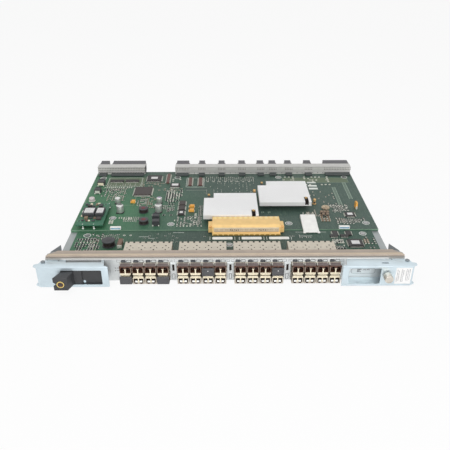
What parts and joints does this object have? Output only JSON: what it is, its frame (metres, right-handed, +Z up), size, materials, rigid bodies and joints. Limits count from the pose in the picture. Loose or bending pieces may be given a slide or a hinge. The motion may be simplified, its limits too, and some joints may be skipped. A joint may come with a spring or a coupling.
{
  "type": "switch line card",
  "caption": "Flat circuit-board assembly on a sheet-metal tray, with a faceplate full of optical port cages, cam ejector levers and rear backplane connectors.",
  "frame": {"origin": "middle of the faceplate's bottom front edge, level with the tray's underside", "axes": "+X right along the faceplate seen from the front, +Y to the rear connectors, +Z up from the tray to the components"},
  "size_m": [0.4256, 0.3174, 0.033],
  "materials": {
    "tray_steel": "satin",
    "panel_steel": "satin",
    "gasket_cloth": "matte",
    "board_green": "satin",
    "cage_nickel": "satin",
    "transceiver_metal": "satin",
    "plug_rubber": "matte",
    "lens_clear": "gloss",
    "ejector_zinc": "satin",
    "slider_plastic": "matte",
    "marker_yellow": "matte",
    "bracket_steel": "satin",
    "screw_nickel": "satin",
    "connector_black": "matte",
    "connector_grey": "matte",
    "connector_yellow": "matte",
    "sink_aluminium": "satin",
    "pin_brass": "satin",
    "chip_black": "matte",
    "can_metal": "satin",
    "tantalum_orange": "matte",
    "cover_white": "matte"
  },
  "bodies": {
    "chassis": {"backplane_modules": "connector_black", "backplane_shells": "connector_grey", "board_clips": "cover_white", "board_posts": "screw_nickel", "board_screws": "screw_nickel", "bridge_connector": "connector_yellow", "bridge_contacts": "connector_yellow", "can_capacitors": "can_metal", "carrier_tray": "tray_steel", "connector_feet": "connector_black", "control_processor": "chip_black", "converter_board": "board_green", "converter_core": "chip_black", "converter_pins": "pin_brass", "emi_gasket": "gasket_cloth", "end_bracket_left": "bracket_steel", "end_bracket_right": "bracket_steel", "faceplate": "panel_steel", "front_heat_sink": "sink_aluminium", "group_separators": "panel_steel", "heat_sink_pins": "pin_brass", "jumper_cover": "cover_white", "led_lenses": "lens_clear", "left_stiffener": "panel_steel", "logic_chips": "chip_black", "main_board": "board_green", "oscillator": "can_metal", "pivot_bracket_left": "panel_steel", "pivot_bracket_right": "panel_steel", "pivot_pins": "bracket_steel", "port_board": "board_green", "port_cages_1": "cage_nickel", "port_cages_2": "cage_nickel", "port_cages_3": "cage_nickel", "port_cages_4": "cage_nickel", "power_coils": "chip_black", "rear_heat_sink": "sink_aluminium", "relays": "chip_black", "right_stiffener": "panel_steel", "switch_chips": "chip_black", "tantalum_capacitors": "tantalum_orange", "transceivers_lower_1": "transceiver_metal", "transceivers_lower_2": "transceiver_metal", "transceivers_lower_3": "transceiver_metal", "transceivers_lower_4": "transceiver_metal", "transceivers_upper_1": "transceiver_metal", "transceivers_upper_2": "transceiver_metal", "transceivers_upper_3": "transceiver_metal", "transceivers_upper_4": "transceiver_metal"},
    "ejector_left": {"ejector_left": "ejector_zinc", "slider_track": "bracket_steel"},
    "ejector_right": {"ejector_right": "ejector_zinc"},
    "power_slider": {"power_slider": "slider_plastic", "slider_ring": "marker_yellow"},
    "thumbscrew_left": {"thumbscrew_left": "screw_nickel"},
    "thumbscrew_right": {"thumbscrew_right": "screw_nickel"},
    "dust_plug_lower_1": {"dust_plug_lower_1": "plug_rubber"},
    "dust_plug_lower_4": {"dust_plug_lower_4": "plug_rubber"},
    "dust_plug_upper_7": {"dust_plug_upper_7": "plug_rubber"},
    "dust_plug_upper_12": {"dust_plug_upper_12": "plug_rubber"}
  },
  "joints": [
    {"name": "left_ejector_swing", "type": "hinge", "parent": "chassis", "child": "ejector_left", "pos_m": [-0.204, -0.0038, 0.0152], "axis": [0, 0, -1], "range_deg": [0, 40]},
    {"name": "right_ejector_swing", "type": "hinge", "parent": "chassis", "child": "ejector_right", "pos_m": [0.204, -0.0038, 0.0152], "axis": [0, 0, 1], "range_deg": [0, 40]},
    {"name": "power_slide", "type": "slide", "parent": "ejector_left", "child": "power_slider", "axis": [1, 0, 0], "range_m": [0, 0.02]},
    {"name": "left_thumbscrew_turn", "type": "hinge", "parent": "ejector_left", "child": "thumbscrew_left", "pos_m": [-0.1782, -0.02, 0.0144], "axis": [0, 1, 0], "continuous": true},
    {"name": "right_thumbscrew_turn", "type": "hinge", "parent": "ejector_right", "child": "thumbscrew_right", "pos_m": [0.1796, -0.02, 0.017], "axis": [0, 1, 0], "continuous": true},
    {"name": "dust_plug_lower_1_pull", "type": "slide", "parent": "chassis", "child": "dust_plug_lower_1", "axis": [0, -1, 0], "range_m": [0, 0.014]},
    {"name": "dust_plug_lower_4_pull", "type": "slide", "parent": "chassis", "child": "dust_plug_lower_4", "axis": [0, -1, 0], "range_m": [0, 0.014]},
    {"name": "dust_plug_upper_7_pull", "type": "slide", "parent": "chassis", "child": "dust_plug_upper_7", "axis": [0, -1, 0], "range_m": [0, 0.014]},
    {"name": "dust_plug_upper_12_pull", "type": "slide", "parent": "chassis", "child": "dust_plug_upper_12", "axis": [0, -1, 0], "range_m": [0, 0.014]}
  ]
}
